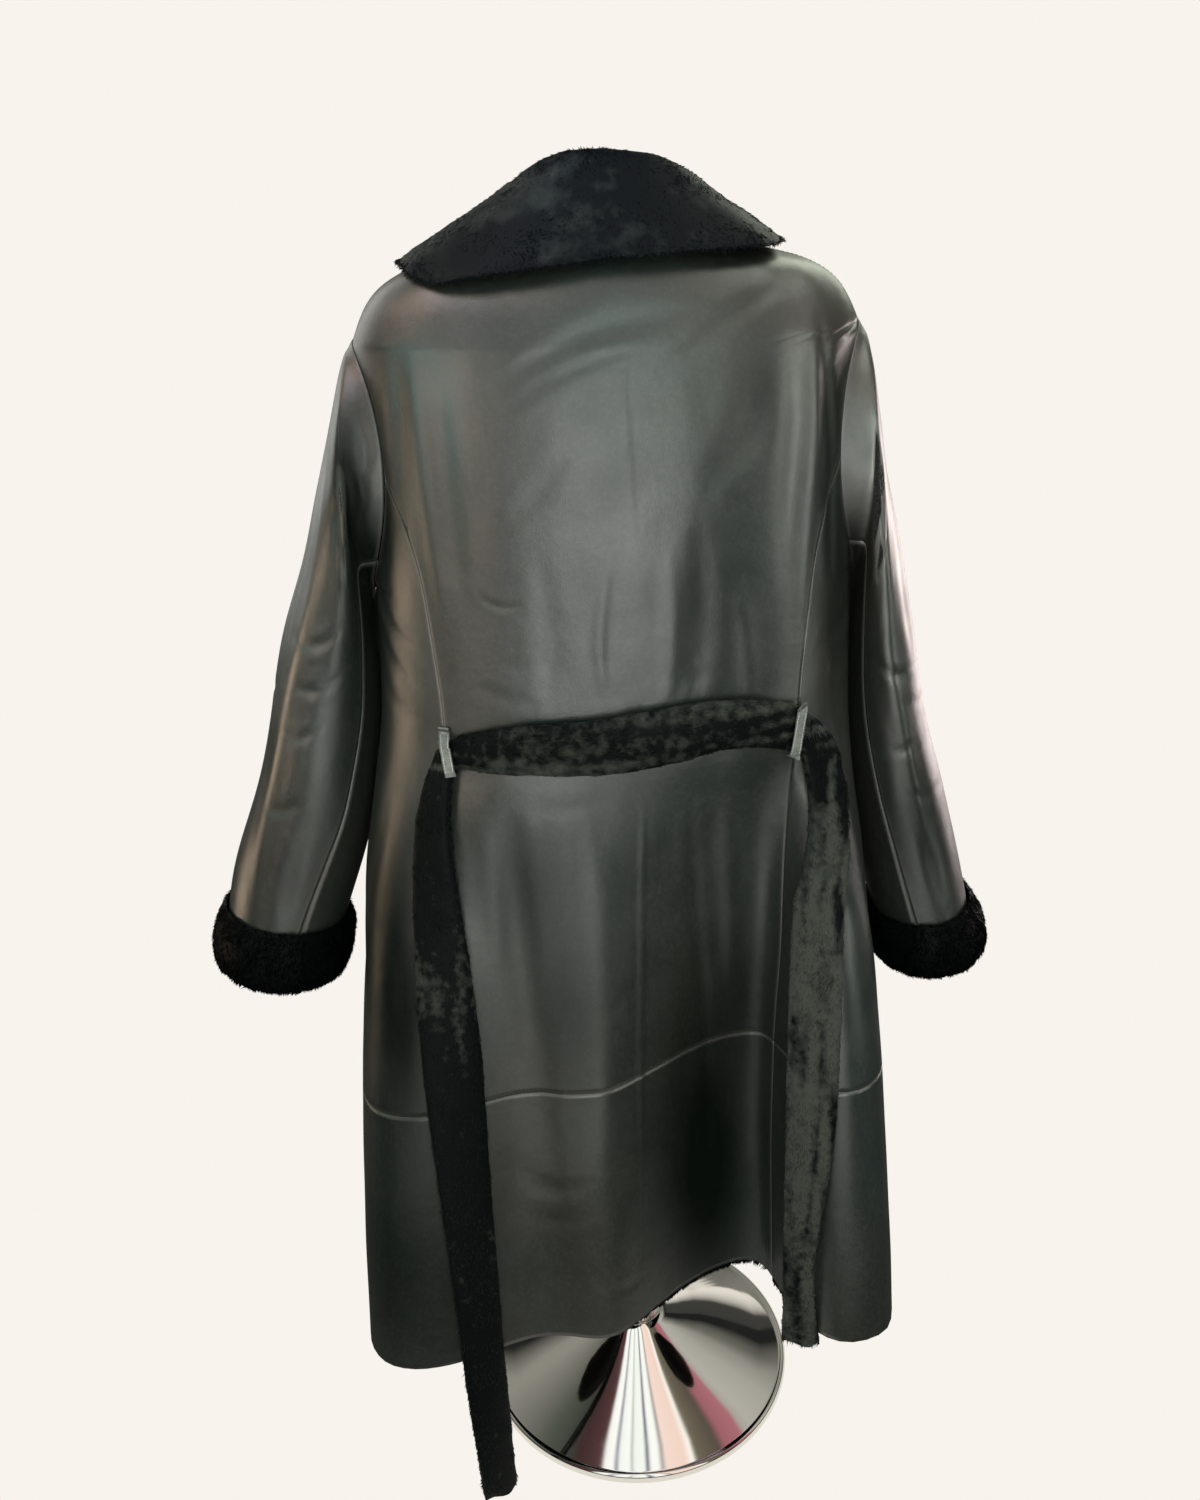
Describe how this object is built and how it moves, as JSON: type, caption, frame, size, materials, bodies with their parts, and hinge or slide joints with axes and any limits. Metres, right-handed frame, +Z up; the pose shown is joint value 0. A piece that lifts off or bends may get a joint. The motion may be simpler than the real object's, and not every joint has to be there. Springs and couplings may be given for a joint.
{
  "type": "leather coat on dress form",
  "caption": "Knee-length leather coat with fur collar, cuffs and hanging fur belt, filled out on a limbless dress form on a trumpet base.",
  "frame": {"origin": "centre of the underside of the stand's base", "axes": "+Z up, -Y towards the coat's front, +X towards the wearer's left"},
  "size_m": [0.8041, 0.3719, 1.337],
  "materials": {
    "leather": "smooth black leather with a soft sheen, fur side in",
    "fur": "short dense black fur",
    "form_cloth": "plain dark jersey",
    "chrome": "bright polished chrome"
  },
  "bodies": {
    "root": {"coat_back": "leather", "coat_side_back_left": "leather", "coat_side_back_right": "leather", "coat_front_left": "leather", "coat_front_right": "leather", "hem_back": "leather", "hem_side_left": "leather", "hem_side_right": "leather", "hem_front_left": "leather", "hem_front_right": "leather", "sleeve_upper_left": "leather", "sleeve_upper_right": "leather", "sleeve_under_left": "leather", "sleeve_under_right": "leather", "cuff_left": "fur", "cuff_right": "fur", "collar": "fur", "belt": "fur", "belt_loop_left": "leather", "belt_loop_right": "leather", "pocket_welt_left": "leather", "pocket_welt_right": "leather", "form_body": "form_cloth", "form_neck": "form_cloth", "stand_pole": "chrome", "stand_nut": "chrome", "stand_base": "chrome"}
  },
  "joints": []
}
